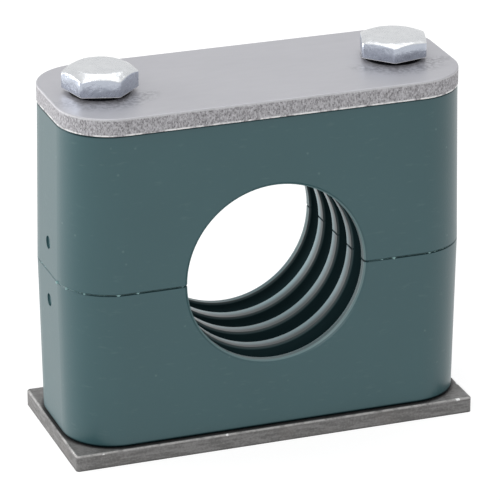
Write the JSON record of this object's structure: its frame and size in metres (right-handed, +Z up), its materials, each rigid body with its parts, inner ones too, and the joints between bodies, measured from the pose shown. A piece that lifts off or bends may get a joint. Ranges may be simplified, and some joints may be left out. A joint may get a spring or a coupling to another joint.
{
  "type": "hydraulic tube clamp",
  "caption": "Heavy-duty clamp for a hydraulic tube: two moulded plastic halves with a ribbed seat, bolted between a steel cover plate and a weld plate with threaded bushes",
  "frame": {"origin": "Centre of the weld plate's underside, on the surface the clamp stands on", "axes": "+X along the plates from bolt to bolt, +Y along the tube seat, +Z up through the bolts"},
  "size_m": [0.1154, 0.0474, 0.1053],
  "materials": {
    "weld_plate_steel": "dark phosphated flat bar with bright worn edges",
    "bush_steel": "turned, lightly oiled",
    "green_polypropylene": "moulded dark green, semi-matt with light scuffs",
    "cover_plate_steel": "zinc plated sheet with rough cut edges",
    "zinc_plated_bolt": "bright zinc plated"
  },
  "bodies": {
    "base": {"weld_plate": "weld_plate_steel", "left_threaded_bush": "bush_steel", "right_threaded_bush": "bush_steel", "lower_clamp_half": "green_polypropylene"},
    "upper_half": {"upper_clamp_half": "green_polypropylene"},
    "cover": {"cover_plate": "cover_plate_steel"},
    "left_bolt": {"left_hex_bolt": "zinc_plated_bolt"},
    "right_bolt": {"right_hex_bolt": "zinc_plated_bolt"}
  },
  "joints": [
    {"name": "upper_half_lift", "type": "slide", "parent": "base", "child": "upper_half", "axis": [0, 0, 1], "range_m": [0, 0.1]},
    {"name": "cover_plate_rise", "type": "slide", "parent": "upper_half", "child": "cover", "axis": [0, 0, 1], "range_m": [0, 0.01225]},
    {"name": "left_bolt_turn", "type": "hinge", "parent": "cover", "child": "left_bolt", "pos_m": [-0.042, 0, 0.0994], "axis": [0, 0, 1], "range_deg": [0, 2520]},
    {"name": "right_bolt_turn", "type": "hinge", "parent": "cover", "child": "right_bolt", "pos_m": [0.042, 0, 0.0994], "axis": [0, 0, 1], "range_deg": [0, 2520]}
  ],
  "couplings": [
    {"joint": "left_bolt_turn", "follows": "cover_plate_rise", "rad_per_m": 3590.4},
    {"joint": "right_bolt_turn", "follows": "cover_plate_rise", "rad_per_m": 3590.4}
  ]
}
